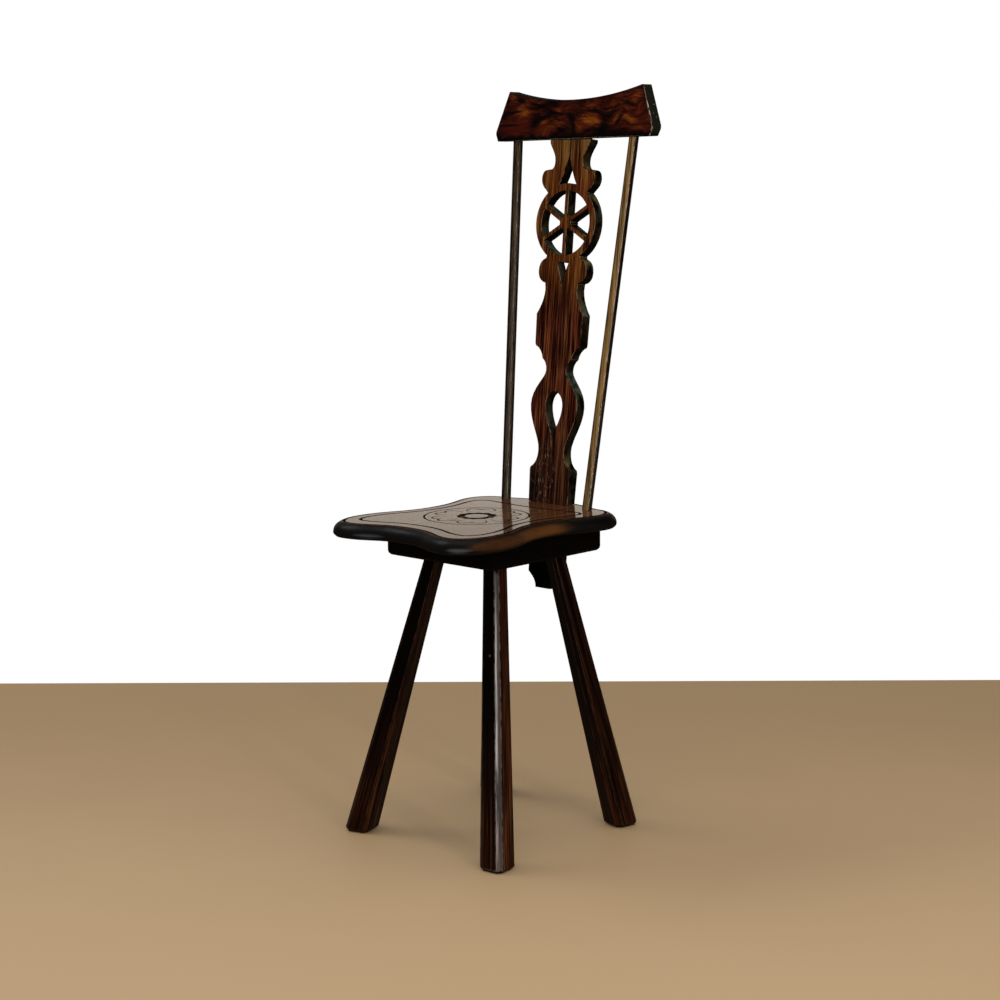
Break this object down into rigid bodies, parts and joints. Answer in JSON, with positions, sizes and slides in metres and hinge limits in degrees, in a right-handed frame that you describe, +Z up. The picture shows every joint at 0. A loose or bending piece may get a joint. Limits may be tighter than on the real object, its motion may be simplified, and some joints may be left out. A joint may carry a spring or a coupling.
{
  "type": "spinning chair",
  "caption": "Narrow low chair for spinning, with an incised lobed seat on splayed legs and a tall raked back with a pierced wheel splat.",
  "frame": {"origin": "on the floor, under the middle of the chair's bounding box", "axes": "+Z up, -Y to the front of the seat, +X to the right of the person looking at the front"},
  "size_m": [0.2794, 0.3627, 0.9506],
  "materials": {
    "seat": "dark oak, old glossy polish, worn at the edge",
    "under_block": "near-black stained oak, dull polish",
    "leg_front_left": "near-black stained oak, rubbed red-brown towards the foot",
    "leg_front_right": "near-black stained oak, rubbed red-brown towards the foot",
    "leg_back_left": "near-black stained oak, rubbed red-brown towards the foot",
    "leg_back_right": "near-black stained oak, rubbed red-brown towards the foot",
    "leg_wedge_front_left": "plain dark oak, unpolished",
    "leg_wedge_front_right": "plain dark oak, unpolished",
    "leg_wedge_back_left": "plain dark oak, unpolished",
    "leg_wedge_back_right": "plain dark oak, unpolished",
    "splat": "red-brown oak, straight grain, glossy polish, dark sides",
    "crest_rail": "figured red-brown oak, dark swirls, glossy polish",
    "rod_left": "brown oak rod, glossy polish",
    "rod_right": "brown oak rod, glossy polish",
    "block_screw_1": "dull slotted steel screw",
    "block_screw_2": "dull slotted steel screw",
    "block_screw_3": "dull slotted steel screw",
    "block_screw_4": "dull slotted steel screw",
    "tail_screw_1": "dull slotted steel screw",
    "tail_screw_2": "dull slotted steel screw"
  },
  "bodies": {
    "root": {"seat": "seat", "under_block": "under_block", "leg_front_left": "leg_front_left", "leg_front_right": "leg_front_right", "leg_back_left": "leg_back_left", "leg_back_right": "leg_back_right", "leg_wedge_front_left": "leg_wedge_front_left", "leg_wedge_front_right": "leg_wedge_front_right", "leg_wedge_back_left": "leg_wedge_back_left", "leg_wedge_back_right": "leg_wedge_back_right", "splat": "splat", "crest_rail": "crest_rail", "rod_left": "rod_left", "rod_right": "rod_right", "block_screw_1": "block_screw_1", "block_screw_2": "block_screw_2", "block_screw_3": "block_screw_3", "block_screw_4": "block_screw_4", "tail_screw_1": "tail_screw_1", "tail_screw_2": "tail_screw_2"}
  },
  "joints": []
}
